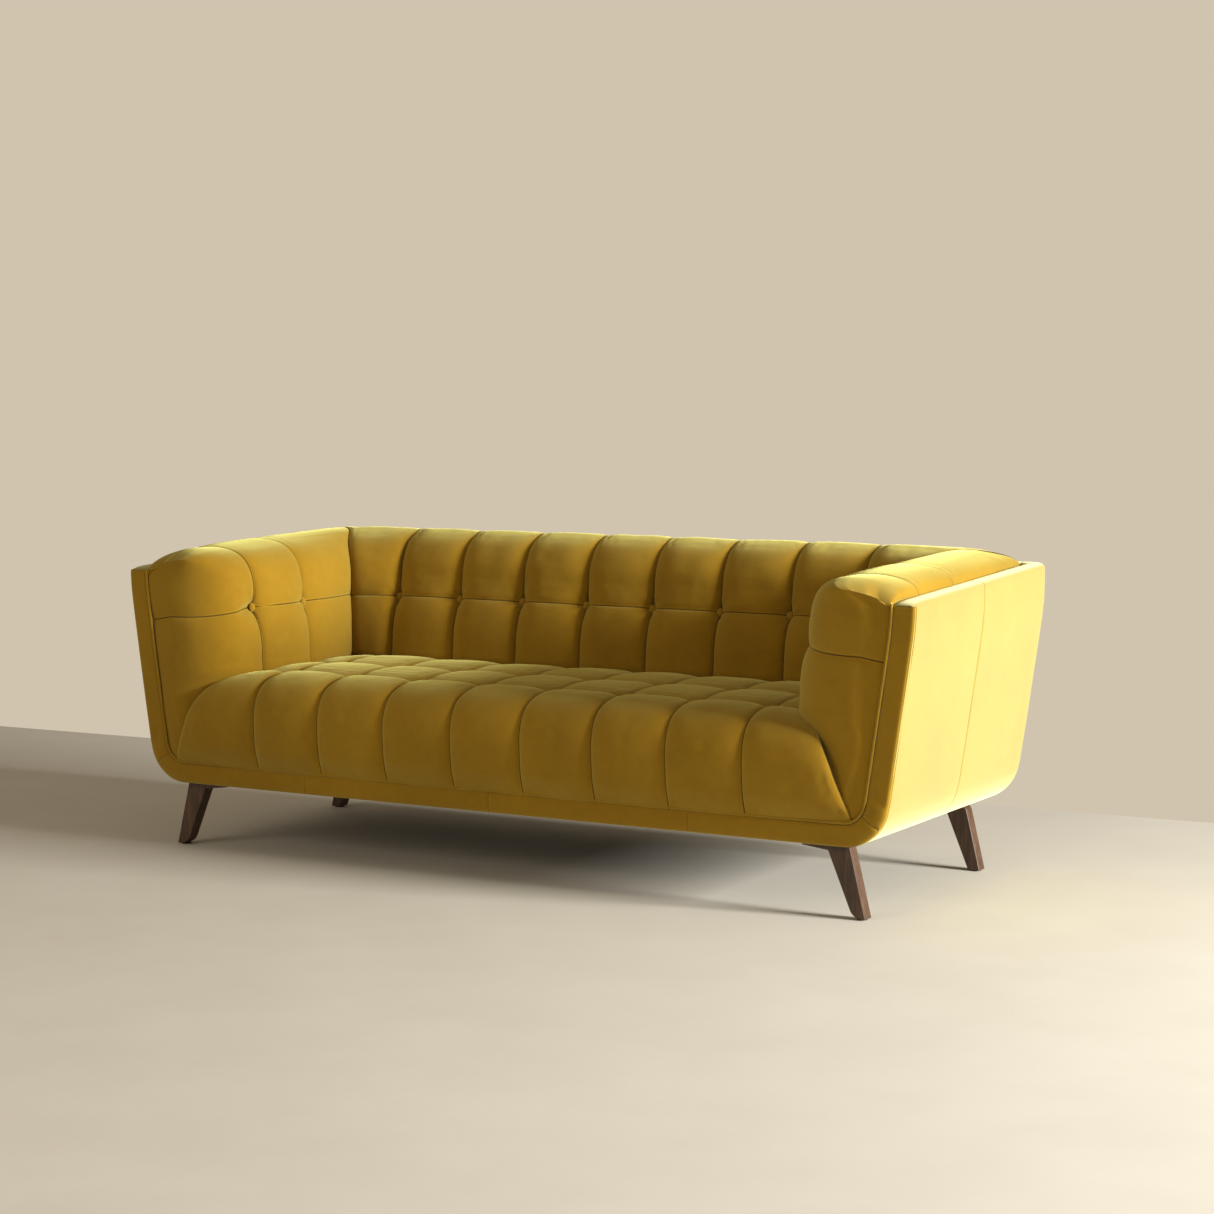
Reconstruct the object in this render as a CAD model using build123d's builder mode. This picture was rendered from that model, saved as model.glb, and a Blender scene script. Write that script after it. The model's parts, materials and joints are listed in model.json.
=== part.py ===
"""Three-seat sofa: channel-tufted upholstery in a slanted shell on four splayed wooden legs.

Frame: origin on the floor under the middle of the box, +X to the right, +Y to the back, +Z up, mm.
The shell is a U-shaped ribbon: two slanted arms joined by a bottom rail, closed behind by the back.
Every layer of the shell is the same outline moved in by a distance called its inset.
"""
import os
from math import hypot

from build123d import *

# Overall size
HALF_WIDTH = 1066.0
FRONT = -395.0
REAR = 425.0
NOSE = -425.0
BASE = 162.5
TOP_FRONT = 698.0
TOP_REAR = 735.0
HEADROOM = 820.0

# Outline of the shell seen from the front, right-hand side
KNEE_Z = 650.0
SLANT_FOOT = (1012.0, 285.0)
CORNER_RADIUS = 105.0
REAR_CORNER_RADIUS = 57.0

# Layers of the shell, as insets from its outer face
COVER = 8.0
BOARD = 14.0
BAND = 50.0
FRAME = 53.0
PAD = 56.0
BAND_DEPTH = 12.0
SHELL_FOOT = 912.0
TOP_RAIL_HEIGHT = 51.0

# Seat frame
FRAME_BASE = 164.0
RAIL_TOP = 210.0
SPRING_RAIL_TOP = 330.0
LOWER_RAIL_BACK = -330.0
SPRING_RAIL_BACK = -290.0
REAR_RAIL = (282.0, 328.0)
SIDE_RAIL = (872.0, 912.0)
STRETCHER_X = 350.0
DOWEL_RADIUS = 5.0

# Tufting: columns across the sofa, rows from front to back
PITCH = 190.9
COLUMNS = 9
ROW_1 = -255.0
ROW_2 = -62.0
CORNER = (775.0, 130.0)
BUTTON_Z = 595.0
BUTTON_RADIUS = 12.0
BUTTON_DEPTH = 8.0
BACK_BUTTON_Y = 232.0
ARM_BUTTON_X = 806.0
QUILT = 34.0
ARM_QUILT = 40.0
PAD_TOP = 742.0
PAD_SLOPE = 0.045

# Springs
WIRE_RADIUS = 1.9
SPRING_BARS = 18
SPRING_Z = 336.0
SPRING_SPAN = (-310.0, 305.0)
SPRING_HALF_WIDTH = 24.0

# Legs
LEG_DEPTH = 33.6
FRONT_LEG_Y = -350.9
REAR_LEG_Y = 304.8
GLIDE = 3.0
BOLT_X = 885.0
PLATE_X = (800.0, 904.0)
PLATE_THICKNESS = 3.0
PLATE_SCREWS_X = (812.0, 858.0)

SLOPE = (TOP_REAR - TOP_FRONT) / (REAR - FRONT)
SIDES = (-1, 1)
LEG_SPOTS = [(side, y) for side in SIDES for y in (FRONT_LEG_Y, REAR_LEG_Y)]
SEAM_X = [(k - (COLUMNS - 2) / 2) * PITCH for k in range(COLUMNS - 1)]


# ---------------------------------------------------------------- helpers

def box(x, y, z):
    """Box from three (low, high) pairs."""
    with BuildPart() as block:
        with Locations(((x[0] + x[1]) / 2, (y[0] + y[1]) / 2, (z[0] + z[1]) / 2)):
            Box(x[1] - x[0], y[1] - y[0], z[1] - z[0])
    return block.part


def side_box(side, x, y, z):
    """Box given for the right-hand side, on the side asked for."""
    low, high = sorted((side * x[0], side * x[1]))
    return box((low, high), y, z)


def rod(centre, direction, radius, length):
    """Cylinder that starts at centre and runs along direction."""
    with BuildPart() as pin:
        with BuildSketch(Plane(origin=centre, z_dir=direction)):
            Circle(radius)
        extrude(amount=length)
    return pin.part


def cone(centre, direction, radius, mouth, depth):
    """Round dimple: radius at centre, opening to mouth over depth along direction."""
    with BuildPart() as dimple:
        with BuildSketch(Plane(origin=centre, z_dir=direction)):
            Circle(radius)
        with BuildSketch(Plane(origin=centre, z_dir=direction).offset(depth)):
            Circle(mouth)
        loft()
    return dimple.part


def prism_xz(points, y0, y1):
    """Outline in XZ run from y0 back to y1."""
    with BuildPart() as solid:
        with BuildSketch(Plane.XZ.offset(-y1)):
            with BuildLine():
                Polyline(*points, close=True)
            make_face()
        extrude(amount=y1 - y0)
    return solid.part


def prism_yz(points, x0, x1):
    """Outline in YZ run from x0 to x1."""
    with BuildPart() as solid:
        with BuildSketch(Plane.YZ.offset(x0)):
            with BuildLine():
                Polyline(*points, close=True)
            make_face()
        extrude(amount=x1 - x0)
    return solid.part


def slope_plane(height_at_front, slope=SLOPE, y=FRONT):
    """Plane that has the given height at y and rises towards the back."""
    return Plane(origin=(0, y, height_at_front), x_dir=(1, 0, 0), z_dir=(0, -slope, 1))


def below(solid, plane):
    return solid.split(plane, keep=Keep.BOTTOM)


def above(solid, plane):
    return solid.split(plane, keep=Keep.TOP)


def joined(pieces):
    """One compound from separate solids."""
    solids = []
    for piece in pieces:
        solids.extend(piece.solids())
    return Compound(children=solids)


def save(name, part):
    """Write one sub-part, checked for size and validity."""
    solids = part.solids()
    volume = sum(s.volume for s in solids)
    if not solids or volume <= 0 or not all(s.is_valid for s in solids):
        raise ValueError(name + " is not a valid solid")
    part.label = name
    export_step(part, "parts/" + name + ".step")
    print(name, len(solids), "solids", round(volume / 1000), "cm3")


# ---------------------------------------------------------------- shell outline

def outline_points(inset):
    """Right-hand outline moved in by inset: knee, start and end of the corner arc, its middle."""
    run = (HALF_WIDTH - SLANT_FOOT[0], KNEE_Z - SLANT_FOOT[1])
    length = hypot(*run)
    up = (run[0] / length, run[1] / length)
    inward = (-up[1], up[0])
    centre_z = BASE + CORNER_RADIUS
    drop = (KNEE_Z + CORNER_RADIUS * inward[1] - centre_z) / up[1]
    centre_x = HALF_WIDTH + CORNER_RADIUS * inward[0] - drop * up[0]
    radius = CORNER_RADIUS - inset
    slide = -inset * (1 + inward[0]) / up[0]
    knee = (HALF_WIDTH - inset, KNEE_Z + inset * inward[1] + slide * up[1])
    start = (centre_x - radius * inward[0], centre_z - radius * inward[1])
    end = (centre_x, centre_z - radius)
    middle_dir = (-inward[0], -inward[1] - 1)
    middle_length = hypot(*middle_dir)
    middle = (centre_x + radius * middle_dir[0] / middle_length,
              centre_z + radius * middle_dir[1] / middle_length)
    return knee, start, middle, end


def outline_face(inset):
    """Closed outline of the whole shell, flat in XY."""
    knee, start, middle, end = outline_points(inset)
    with BuildSketch() as face:
        with BuildLine():
            for side in SIDES:
                Line((side * knee[0], HEADROOM), (side * knee[0], knee[1]))
                Line((side * knee[0], knee[1]), (side * start[0], start[1]))
                ThreePointArc((side * start[0], start[1]), (side * middle[0], middle[1]), (side * end[0], end[1]))
            Line((-end[0], end[1]), (end[0], end[1]))
            Line((-knee[0], HEADROOM), (knee[0], HEADROOM))
        make_face()
    return face.sketch


def envelope(inset, drop=None, front=FRONT - 60):
    """Solid inside the shell's outline at an inset, cut drop below the arm line or left open above."""
    rear = REAR - inset
    with BuildPart() as solid:
        with BuildSketch(Plane.XZ.offset(-rear)):
            add(outline_face(inset))
        extrude(amount=rear - front)
        rear_face = solid.faces().sort_by(Axis.Y)[-1]
        rim = rear_face.edges().filter_by(lambda e: e.center().Z < HEADROOM - 1)
        fillet(rim, max(REAR_CORNER_RADIUS - inset, 3.0))
    if drop is None:
        return solid.part
    return below(solid.part, slope_plane(TOP_FRONT - drop))


def front_ribbon():
    """The front-facing band of the whole shell, before it is cut at the mitres."""
    with BuildPart() as ribbon:
        with BuildSketch(Plane.XZ.offset(-(FRONT + BAND_DEPTH))):
            add(outline_face(0))
        extrude(amount=BAND_DEPTH)
        with BuildSketch(Plane.XZ.offset(-(FRONT + BAND_DEPTH))):
            add(outline_face(BAND))
        extrude(amount=BAND_DEPTH, mode=Mode.SUBTRACT)
    return below(ribbon.part, slope_plane(TOP_FRONT))


# ---------------------------------------------------------------- shell parts

def make_front_bands():
    ribbon = front_ribbon()
    mitre = [(890, 263), (1066, 153), (1066, 100), (-1066, 100), (-1066, 153), (-890, 263)]
    lower = prism_xz(mitre, FRONT - 5, FRONT + BAND_DEPTH + 5)
    save("front_rail_band", ribbon & lower)
    arms = ribbon - lower
    save("left_arm_front_band", arms & side_box(-1, (0, 1100), (-500, 500), (0, 900)))
    save("right_arm_front_band", arms & side_box(1, (0, 1100), (-500, 500), (0, 900)))


def make_front_welt():
    """Welt cord sewn along the inner edge of the front band."""
    knee, start, _, _ = outline_points(FRAME)
    floor = BASE + FRAME
    lean = (knee[0] - start[0]) / (knee[1] - start[1])
    corner = (start[0] - (start[1] - floor) * lean, floor)
    points = [(knee[0], TOP_FRONT - 8), knee, corner]
    route = [(-x, FRONT + 2, z) for x, z in points] + [(x, FRONT + 2, z) for x, z in reversed(points)]
    with BuildPart() as welt:
        with BuildLine() as path:
            FilletPolyline(*route, radius=CORNER_RADIUS - FRAME)
        with BuildSketch(Plane(origin=route[0], z_dir=path.line % 0)):
            Circle(2.8)
        sweep(path=path.line)
    save("front_welt_cord", welt.part)


def make_shell_layers():
    front = FRONT + BAND_DEPTH
    cavity = envelope(FRAME)
    hollow_cover = envelope(COVER, COVER)
    covers = envelope(0, 0, front) - hollow_cover - cavity
    boards = envelope(COVER, BOARD, front) - envelope(BOARD)
    back_box = box((-1005, 1005), (372, 430), (100, 900))
    save("outside_back_cover", covers & back_box)
    save("outside_back_board", boards & back_box)
    for side, word in zip(SIDES, ("left", "right")):
        flank = side_box(side, (SHELL_FOOT, 1100), (-500, 500), (100, 900))
        save(word + "_outer_arm_cover", (covers - back_box) & flank)
        save(word + "_outer_arm_board", (boards - back_box) & flank)
        lining = envelope(FRAME, 20, front) - envelope(PAD)
        save(word + "_inner_arm_board", lining & side_box(side, (925, 1100), (front, 366), (235, 900)))


def make_shell_frame():
    front = FRONT + BAND_DEPTH
    zone = envelope(BOARD, COVER, front) - envelope(FRAME)
    split_plane = slope_plane(TOP_FRONT - COVER - TOP_RAIL_HEIGHT)
    top_zone = above(zone, split_plane)
    low_zone = below(zone, split_plane)
    save("back_top_rail", top_zone & box((-1100, 1100), (372, 430), (600, 800)))
    posts = [box((x - 24, x + 24), (372, 430), (240, 800)) for x in (-690, -230, 230, 690)]
    save("back_posts", joined([low_zone & post for post in posts]))
    save("back_bottom_rail", low_zone & box((-960, 960), (372, 430), (150, 240)))
    for side, word in zip(SIDES, ("left", "right")):
        save(word + "_arm_top_rail", top_zone & side_box(side, (980, 1100), (front, 372), (500, 800)))
        front_rib = side_box(side, (SHELL_FOOT, 1100), (front, LOWER_RAIL_BACK), (100, 800))
        middle_rib = side_box(side, (SHELL_FOOT, 1100), (-22, 22), (100, 800))
        rear_rib = side_box(side, (SHELL_FOOT, 1100), (330, 372), (100, 800))
        save(word + "_arm_front_post", low_zone & front_rib)
        save(word + "_arm_middle_rib", low_zone & middle_rib)
        save(word + "_arm_rear_post", low_zone & rear_rib)


# ---------------------------------------------------------------- seat frame

def dowel_rods(radius, overlap=30.0):
    """Dowels along Y at the ends of the side rails and stretchers."""
    spots = [(side * 900.0, LOWER_RAIL_BACK) for side in SIDES]
    spots += [(side * STRETCHER_X + shift, SPRING_RAIL_BACK) for side in SIDES for shift in (-10, 10)]
    spots += [(side * 900.0, REAR_RAIL[0]) for side in SIDES]
    spots += [(side * STRETCHER_X + shift, REAR_RAIL[0]) for side in SIDES for shift in (-10, 10)]
    return [rod((x, y - overlap, 187), (0, 1, 0), radius, 2 * overlap) for x, y in spots]


def fixing_holes():
    """Clearance for everything that fixes the legs: plate pockets, bolts and screws."""
    holes = []
    for side, y in LEG_SPOTS:
        holes.append(side_box(side, PLATE_X, (y - 16, y + 16), (FRAME_BASE - 1, FRAME_BASE + PLATE_THICKNESS)))
        holes.append(rod((side * BOLT_X, y, 110), (0, 0, 1), 4.2, 92))
        for x in PLATE_SCREWS_X:
            holes.append(rod((side * x, y, FRAME_BASE - 2), (0, 0, 1), 2.3, 30))
    return holes


def drilled(solid, tools):
    for tool in tools:
        solid = solid - tool
    return solid


def make_seat_frame():
    tools = dowel_rods(DOWEL_RADIUS) + fixing_holes()
    front = FRONT + BAND_DEPTH
    lower = box((-SHELL_FOOT, SHELL_FOOT), (front, LOWER_RAIL_BACK), (FRAME_BASE, RAIL_TOP))
    save("front_lower_rail", drilled(lower, tools))
    slanted = [(872, FRAME_BASE), (872, 275), (838, SPRING_RAIL_TOP)]
    points = slanted + [(-x, z) for x, z in reversed(slanted)]
    save("front_spring_rail", drilled(prism_xz(points, LOWER_RAIL_BACK, SPRING_RAIL_BACK), tools))
    wide = [(SHELL_FOOT, FRAME_BASE), (SHELL_FOOT, RAIL_TOP), (872, 275), (838, SPRING_RAIL_TOP)]
    points = wide + [(-x, z) for x, z in reversed(wide)]
    save("rear_seat_rail", drilled(prism_xz(points, *REAR_RAIL), tools))
    for side, word in zip(SIDES, ("left", "right")):
        rail = side_box(side, SIDE_RAIL, (LOWER_RAIL_BACK, REAR_RAIL[0]), (FRAME_BASE, RAIL_TOP))
        save(word + "_seat_rail", drilled(rail, tools))
    stretchers = []
    for side in SIDES:
        x = (STRETCHER_X - 20, STRETCHER_X + 20)
        bar = side_box(side, x, (SPRING_RAIL_BACK, REAR_RAIL[0]), (FRAME_BASE, RAIL_TOP))
        stretchers.append(drilled(bar, tools))
    save("seat_stretchers", joined(stretchers))
    save("frame_dowels", joined(dowel_rods(DOWEL_RADIUS - 0.2, 29.0)))
    spacers = [box((x - 30, x + 30), (REAR_RAIL[1], 372), (185, 240)) for x in (-668, -95, 95, 668)]
    save("back_spacer_blocks", joined(spacers))


def make_corner_blocks():
    """Triangular glue blocks in the four inner corners of the seat frame."""
    blocks = []
    for side in SIDES:
        for y, way in ((SPRING_RAIL_BACK, 1), (REAR_RAIL[0], -1)):
            with BuildPart() as block:
                with BuildSketch(Plane.XY.offset(FRAME_BASE)):
                    with BuildLine():
                        x = side * SIDE_RAIL[0]
                        Polyline((x, y), (x - side * 75, y), (x, y + way * 75), close=True)
                    make_face()
                extrude(amount=RAIL_TOP - FRAME_BASE)
            blocks.append(block.part)
    save("corner_blocks", joined(blocks))


def make_springs():
    """Zigzag springs: parallel bars joined by half circles, clipped to the rails."""
    step = (SPRING_SPAN[1] - SPRING_SPAN[0]) / (SPRING_BARS - 1)
    with BuildPart() as spring:
        with BuildLine() as path:
            for bar in range(SPRING_BARS):
                y = SPRING_SPAN[0] + bar * step
                way = 1 if bar % 2 == 0 else -1
                end = way * SPRING_HALF_WIDTH
                Line((-end, y, SPRING_Z), (end, y, SPRING_Z))
                if bar < SPRING_BARS - 1:
                    bulge = end + way * step / 2
                    ThreePointArc((end, y, SPRING_Z), (bulge, y + step / 2, SPRING_Z), (end, y + step, SPRING_Z))
        with BuildSketch(Plane(origin=(-SPRING_HALF_WIDTH, SPRING_SPAN[0], SPRING_Z), z_dir=(1, 0, 0))):
            Circle(WIRE_RADIUS)
        sweep(path=path.line)
    columns = [(column - (COLUMNS - 1) / 2) * PITCH for column in range(COLUMNS)]
    save("seat_springs", joined([spring.part.moved(Location((x, 0, 0))) for x in columns]))
    clips = []
    for x in columns:
        for y in SPRING_SPAN:
            block = box((x - 12, x + 12), (y - 7, y + 7), (SPRING_RAIL_TOP, SPRING_Z + 4.5))
            clips.append(block - rod((x - 20, y, SPRING_Z), (1, 0, 0), WIRE_RADIUS + 0.2, 40))
    save("spring_clips", joined(clips))


def make_webbing():
    """Upright elastic straps across the back frame, and the felt pad over the springs."""
    straps = []
    for column in range(COLUMNS):
        x = (column - (COLUMNS - 1) / 2) * PITCH
        straps.append(box((x - 30, x + 30), (370.2, 371.8), (215, 712)))
    save("back_webbing", joined(straps))
    save("spring_felt_pad", box((-835, 835), (-326, 324), (341.5, 345)))


# ---------------------------------------------------------------- pads

def pad_top(solid):
    """Cut a pad at the rising line of the tufted tops."""
    return below(solid, slope_plane(PAD_TOP, PAD_SLOPE, ROW_1))


def mitre_plane(side):
    """Upright plane from the inner corner of arm and back to the rear corner of the shell."""
    return Plane(origin=(side * CORNER[0], CORNER[1], 0), x_dir=(0, 0, 1), z_dir=(-side, 1, 0))


def arm_front_round(side):
    """Tall block whose plan rounds off the front inner corner of an arm pad."""
    plan = [(700, -250), (778, -250), (796, -316), (828, -358), (878, -384), (940, FRONT), (1060, FRONT), (1060, 400),
            (700, 400)]
    with BuildPart() as block:
        with BuildSketch():
            with BuildLine():
                Polyline(*[(side * x, y) for x, y in plan], close=True)
            make_face()
        extrude(amount=HEADROOM)
    return block.part


def arm_pad(side):
    points = [(905, 222), (790, 440), (777, 500), (776, 670), (792, 715), (832, 756), (870, 790), (968, 790),
              (1012, 728), (1040, 700), (1040, 222)]
    solid = prism_xz([(side * x, z) for x, z in points], FRONT, 370)
    solid = below(solid, mitre_plane(side))
    return pad_top(solid & envelope(PAD) & arm_front_round(side))


def back_pad():
    points = [(163, 454), (180, 520), (212, 598), (216, 690), (245, 742), (295, 768), (345, 768), (369, 745),
              (369, 349), (188, 349), (188, 454)]
    solid = prism_yz(points, -1060, 1060)
    for side in SIDES:
        solid = above(solid, mitre_plane(side))
    return solid & envelope(PAD)


def seat_pad():
    points = [(FRONT, 218.5), (-418, 262), (NOSE, 330), (-417, 392), (-390, 428), (-345, 445), (-255, 450),
              (150, 450), (185, 440), (185, 346), (LOWER_RAIL_BACK, 346), (LOWER_RAIL_BACK, 218.5)]
    solid = prism_yz(points, -910, 910)
    half = [(903, 218.5), (784, 438), (772, 455)]
    return solid & prism_xz(half + [(-x, z) for x, z in reversed(half)], NOSE - 5, 200)


def arm_button_spots():
    return [(side, y) for side in SIDES for y in (ROW_1, ROW_2)]


def tie_holes(radius):
    """Button ties, from each dimple straight through the pad to the frame."""
    ties = [rod((x, BACK_BUTTON_Y, BUTTON_Z), (0, 1, 0), radius, 369 - BACK_BUTTON_Y) for x in SEAM_X]
    for side, y in arm_button_spots():
        ties.append(rod((side * ARM_BUTTON_X, y, BUTTON_Z), (side, 0, 0), radius, 994 - ARM_BUTTON_X))
    return ties


def dimples():
    """Round dimples that the buttons are pulled into."""
    hollows = [cone((x, BACK_BUTTON_Y, BUTTON_Z), (0, -1, 0), 14, 34, 40) for x in SEAM_X]
    for side, y in arm_button_spots():
        hollows.append(cone((side * ARM_BUTTON_X, y, BUTTON_Z), (-side, 0, 0), 14, 34, 40))
    return hollows


def make_pads():
    holes = tie_holes(2.0)
    hollows = dimples()
    seat = seat_pad()
    seat_core = seat & seat.moved(Location((0, QUILT, -QUILT)))
    save("seat_quilted_cover", seat - seat_core)
    save("seat_front_roll", seat_core & box((-1000, 1000), (-500, LOWER_RAIL_BACK), (0, 900)))
    save("seat_foam_slab", seat_core & box((-1000, 1000), (LOWER_RAIL_BACK, 500), (0, 900)))
    back = back_pad()
    back_core = back & back.moved(Location((0, QUILT, -QUILT)))
    save("back_quilted_cover", drilled(back - back_core, holes[:COLUMNS - 1] + hollows[:COLUMNS - 1]))
    save("back_foam_core", drilled(back_core, holes[:COLUMNS - 1]))
    for side, word in zip(SIDES, ("left", "right")):
        pad = arm_pad(side)
        core = pad & pad.moved(Location((side * ARM_QUILT, ARM_QUILT, -ARM_QUILT)))
        save(word + "_arm_quilted_cover", drilled(pad - core, holes[COLUMNS - 1:] + hollows[COLUMNS - 1:]))
        save(word + "_arm_foam_core", drilled(core, holes[COLUMNS - 1:]))
    save("button_ties", joined(tie_holes(1.0)))


def button(centre, direction):
    """Covered button: flat back, domed face."""
    with BuildPart() as knob:
        with BuildSketch(Plane(origin=centre, z_dir=direction)):
            Circle(BUTTON_RADIUS)
        extrude(amount=BUTTON_DEPTH)
        fillet(knob.edges().sort_by(lambda e: (e.center() - Vector(*centre)).length)[-1], 5.5)
    return knob.part


def make_buttons():
    save("back_buttons", joined([button((x, BACK_BUTTON_Y, BUTTON_Z), (0, -1, 0)) for x in SEAM_X]))
    spots = arm_button_spots()
    save("arm_buttons", joined([button((s * ARM_BUTTON_X, y, BUTTON_Z), (-s, 0, 0)) for s, y in spots]))


# ---------------------------------------------------------------- legs

def leg(side, y):
    """Flat plank leg: tapered stem splayed outwards, with a curved bracket wing along the base."""
    outline = [(794, FRAME_BASE), (794, 155), (856.6, 147.9), (917, GLIDE), (947, GLIDE), (908, FRAME_BASE)]
    with BuildPart() as plank:
        with BuildSketch(Plane.XZ.offset(-(y + LEG_DEPTH / 2))) as face:
            with BuildLine():
                Polyline(*[(side * px, pz) for px, pz in outline], close=True)
            make_face()
            inner = face.vertices().sort_by_distance((side * 856.6, y + LEG_DEPTH / 2, 147.9))[0]
            fillet(inner, 30)
        extrude(amount=LEG_DEPTH)
        faces = plank.faces().sort_by(Axis.Y)
        rims = faces[0].edges() + faces[-1].edges()
        chamfer(rims.filter_by(lambda e: GLIDE + 1 < e.center().Z < FRAME_BASE - 1), 1.5)
    pin_hole = rod((side * 932, y, GLIDE - 1), (0, 0, 1), 2.2, 14)
    return drilled(plank.part, fixing_holes() + [pin_hole])


def make_legs():
    for (side, y), word in zip(LEG_SPOTS, ("front_left", "rear_left", "front_right", "rear_right")):
        save(word + "_leg", leg(side, y))


def make_leg_fixings():
    plates, bolts, screws, glides = [], [], [], []
    for side, y in LEG_SPOTS:
        plate = side_box(side, (PLATE_X[0] + 1, PLATE_X[1] - 1), (y - 15, y + 15),
                         (FRAME_BASE, FRAME_BASE + PLATE_THICKNESS))
        plate = plate - rod((side * BOLT_X, y, FRAME_BASE - 1), (0, 0, 1), 4.2, 10)
        bolts.append(rod((side * BOLT_X, y, 112), (0, 0, 1), 4.0, 88))
        for x in PLATE_SCREWS_X:
            head = cone((side * x, y, FRAME_BASE), (0, 0, 1), 4.0, 2.1, PLATE_THICKNESS)
            plate = plate - cone((side * x, y, FRAME_BASE), (0, 0, 1), 4.2, 2.3, PLATE_THICKNESS)
            screws.append(head + rod((side * x, y, FRAME_BASE + PLATE_THICKNESS), (0, 0, 1), 2.1, 22))
        plates.append(plate)
        disc = rod((side * 932, y, 0), (0, 0, 1), 12.0, GLIDE)
        glides.append(disc + rod((side * 932, y, GLIDE), (0, 0, 1), 2.0, 12))
    save("leg_plates", joined(plates))
    save("leg_bolts", joined(bolts))
    save("plate_screws", joined(screws))
    save("floor_glides", joined(glides))


def make_dust_cover():
    """Cloth stapled under the frame, cut away round the tops of the legs."""
    cloth = box((-911, 911), (FRONT + BAND_DEPTH, 368), (BASE, FRAME_BASE))
    for side, y in LEG_SPOTS:
        cloth = cloth - side_box(side, (793, 909.5), (y - 17.8, y + 17.8), (100, 200))
    save("dust_cover", cloth)


def main():
    os.makedirs("parts", exist_ok=True)
    make_front_bands()
    make_front_welt()
    make_shell_layers()
    make_shell_frame()
    make_seat_frame()
    make_corner_blocks()
    make_springs()
    make_webbing()
    make_pads()
    make_buttons()
    make_legs()
    make_leg_fixings()
    make_dust_cover()


main()
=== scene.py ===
"""Looks of the sofa: tufted velvet pads, upholstered shell, buttons, welt, wood and cloth materials.

Metres, in the frame of the CAD model: origin on the floor, +X to the right, +Y to the back, +Z up.
"""
import json
import math

import bpy
import numpy as np
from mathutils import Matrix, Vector

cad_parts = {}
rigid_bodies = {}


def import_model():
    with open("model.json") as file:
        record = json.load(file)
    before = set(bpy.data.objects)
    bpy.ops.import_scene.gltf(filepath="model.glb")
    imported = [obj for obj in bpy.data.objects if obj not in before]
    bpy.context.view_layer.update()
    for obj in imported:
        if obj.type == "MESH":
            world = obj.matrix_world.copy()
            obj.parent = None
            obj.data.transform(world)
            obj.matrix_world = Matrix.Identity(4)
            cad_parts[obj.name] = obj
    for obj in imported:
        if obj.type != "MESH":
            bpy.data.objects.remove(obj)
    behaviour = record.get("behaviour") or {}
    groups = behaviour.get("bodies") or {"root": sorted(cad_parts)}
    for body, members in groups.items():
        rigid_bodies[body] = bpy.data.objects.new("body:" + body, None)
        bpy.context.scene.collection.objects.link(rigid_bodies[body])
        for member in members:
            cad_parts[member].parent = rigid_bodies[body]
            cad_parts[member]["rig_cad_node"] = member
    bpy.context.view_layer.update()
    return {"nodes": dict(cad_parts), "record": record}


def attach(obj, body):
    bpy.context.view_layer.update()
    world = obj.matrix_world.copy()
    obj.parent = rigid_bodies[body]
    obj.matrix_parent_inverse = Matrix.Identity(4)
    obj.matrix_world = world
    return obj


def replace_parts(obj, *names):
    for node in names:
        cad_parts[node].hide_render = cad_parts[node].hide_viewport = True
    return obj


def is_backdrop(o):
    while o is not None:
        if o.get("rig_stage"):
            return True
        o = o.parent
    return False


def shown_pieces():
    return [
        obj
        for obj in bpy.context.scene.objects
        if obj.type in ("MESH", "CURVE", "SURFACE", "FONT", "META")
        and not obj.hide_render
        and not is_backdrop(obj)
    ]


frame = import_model()

# ---------------------------------------------------------------- dimensions (mm unless a name says m)
MM = 0.001
HALF_WIDTH = 1066.0
FRONT = -395.0
REAR = 425.0
BASE = 162.5
TOP_FRONT = 698.0
SLOPE = 37.0 / 820.0
KNEE_Z = 650.0
SLANT_FOOT = (1012.0, 285.0)
CORNER_R = 105.0
REAR_R = 57.0
BAND = 50.0
WELT = 53.0  # inset of the welt's centre line
WELT_R = 3.3
PITCH = 190.9
SEAM_X = [(k - 3.5) * PITCH for k in range(8)]
ROW_1 = -255.0  # y of the arms' first seam
ROW_2 = -62.0  # y of the arms' second seam
CORNER = (806.0, 185.0)  # x, y of the crease where arm and back pads meet
MITRE = 1.02  # how far the crease runs back for each mm it runs out
BACK_BUTTON = (229.0, 594.0)  # y, z of the dimples of the back
ARM_BUTTON_X = (799.0, 789.0)  # x of the dimples of an arm, front and rear
ARM_BUTTON_Z = 597.0
WRAP_FRONT = FRONT + 11.5  # y of the hidden edges behind the front bands
REAR_PANEL = REAR - 20.0  # y where the shell's top edge stops rising
SETTLE_CAP = 0.006  # m, the furthest the velvet may move while it settles
SECTION_STEP = 6.5  # between points along a seam section
CELL_ROWS = 30  # sections lofted in each tufted cell


# ---------------------------------------------------------------- mesh helpers
def collect(obj):
    bpy.context.scene.collection.objects.link(obj)
    return obj


def mesh_object(name, points, faces, material):
    """Smooth mesh from points in mm."""
    mesh = bpy.data.meshes.new(name)
    mesh.from_pydata([tuple(MM * c for c in p) for p in points], [], faces)
    mesh.validate()
    mesh.polygons.foreach_set("use_smooth", [True] * len(mesh.polygons))
    mesh.materials.append(material)
    mesh.update()
    return collect(bpy.data.objects.new(name, mesh))


def grid_faces(rows, columns, start=0, flip=False):
    faces = []
    for i in range(rows - 1):
        for j in range(columns - 1):
            a = start + i * columns + j
            quad = (a, a + 1, a + columns + 1, a + columns)
            faces.append(quad[::-1] if flip else quad)
    return faces


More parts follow.
